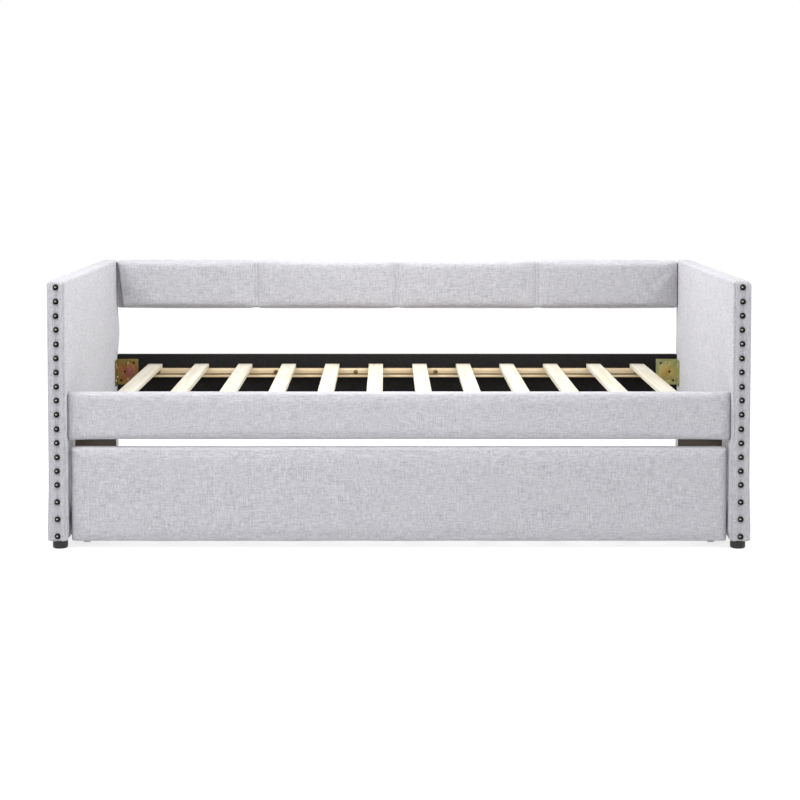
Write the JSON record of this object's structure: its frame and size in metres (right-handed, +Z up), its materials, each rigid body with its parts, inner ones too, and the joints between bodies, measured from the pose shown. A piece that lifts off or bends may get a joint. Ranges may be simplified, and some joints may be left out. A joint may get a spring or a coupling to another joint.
{
  "type": "trundle bed",
  "caption": "Upholstered daybed with tall padded arms, a low padded back, slats across and a padded trundle that rolls out at the front.",
  "frame": {"origin": "on the floor under the centre of the bed's footprint", "axes": "+X along the bed's length towards its right arm, +Y towards the back, +Z up"},
  "size_m": [2.07, 1.08, 0.794],
  "materials": {
    "upholstery": "heathered light grey linen weave",
    "frame_wood": "raw sawn softwood and board",
    "pine": "sanded unfinished pine",
    "black_cloth": "black non-woven cloth over board",
    "nailheads": "dark antique pewter, polished on the domes",
    "zinc_plate": "yellow zinc plated sheet steel",
    "steel": "bright zinc plated",
    "feet": "matte black plastic",
    "wheels": "black nylon"
  },
  "bodies": {
    "daybed": {"arm_frame_left": "frame_wood", "arm_frame_right": "frame_wood", "arm_cover_left": "upholstery", "arm_cover_right": "upholstery", "nailhead_row_left": "nailheads", "nailhead_row_right": "nailheads", "foot_front_left": "feet", "foot_front_right": "feet", "foot_rear_left": "feet", "foot_rear_right": "feet", "backrest_board": "frame_wood", "backrest_cover": "upholstery", "rear_rail": "black_cloth", "front_rail_board": "frame_wood", "front_rail_cover": "upholstery", "slat_ledger_front": "pine", "slat_ledger_rear": "pine", "slat_01": "pine", "slat_02": "pine", "slat_03": "pine", "slat_04": "pine", "slat_05": "pine", "slat_06": "pine", "slat_07": "pine", "slat_08": "pine", "slat_09": "pine", "slat_10": "pine", "slat_11": "pine", "slat_12": "pine", "corner_bracket_front_left": "zinc_plate", "corner_bracket_front_right": "zinc_plate", "corner_bracket_rear_left": "zinc_plate", "corner_bracket_rear_right": "zinc_plate"},
    "trundle": {"trundle_front_board": "frame_wood", "trundle_front_cover": "upholstery", "trundle_rear_rail": "pine", "trundle_side_rail_left": "pine", "trundle_side_rail_right": "pine", "trundle_ledger_front": "pine", "trundle_slat_1": "pine", "trundle_slat_2": "pine", "trundle_slat_3": "pine", "trundle_slat_4": "pine", "trundle_slat_5": "pine", "trundle_slat_6": "pine", "trundle_slat_7": "pine", "trundle_slat_8": "pine", "trundle_slat_9": "pine", "caster_bracket_front_left": "steel", "caster_bracket_front_right": "steel", "caster_bracket_rear_left": "steel", "caster_bracket_rear_right": "steel", "caster_axle_front_left": "steel", "caster_axle_front_right": "steel", "caster_axle_rear_left": "steel", "caster_axle_rear_right": "steel"},
    "wheel_front_left": {"caster_wheel_front_left": "wheels"},
    "wheel_front_right": {"caster_wheel_front_right": "wheels"},
    "wheel_rear_left": {"caster_wheel_rear_left": "wheels"},
    "wheel_rear_right": {"caster_wheel_rear_right": "wheels"}
  },
  "joints": [
    {"name": "trundle_slide", "type": "slide", "parent": "daybed", "child": "trundle", "axis": [0, -1, 0], "range_m": [0, 1]},
    {"name": "wheel_spin_front_left", "type": "hinge", "parent": "trundle", "child": "wheel_front_left", "pos_m": [-0.93835, -0.43, 0.025], "axis": [1, 0, 0], "continuous": true},
    {"name": "wheel_spin_front_right", "type": "hinge", "parent": "trundle", "child": "wheel_front_right", "pos_m": [0.93835, -0.43, 0.025], "axis": [1, 0, 0], "continuous": true},
    {"name": "wheel_spin_rear_left", "type": "hinge", "parent": "trundle", "child": "wheel_rear_left", "pos_m": [-0.93835, 0.43, 0.025], "axis": [1, 0, 0], "continuous": true},
    {"name": "wheel_spin_rear_right", "type": "hinge", "parent": "trundle", "child": "wheel_rear_right", "pos_m": [0.93835, 0.43, 0.025], "axis": [1, 0, 0], "continuous": true}
  ],
  "couplings": [
    {"joint": "wheel_spin_front_left", "follows": "trundle_slide", "rad_per_m": 40},
    {"joint": "wheel_spin_front_right", "follows": "trundle_slide", "rad_per_m": 40},
    {"joint": "wheel_spin_rear_left", "follows": "trundle_slide", "rad_per_m": 40},
    {"joint": "wheel_spin_rear_right", "follows": "trundle_slide", "rad_per_m": 40}
  ]
}
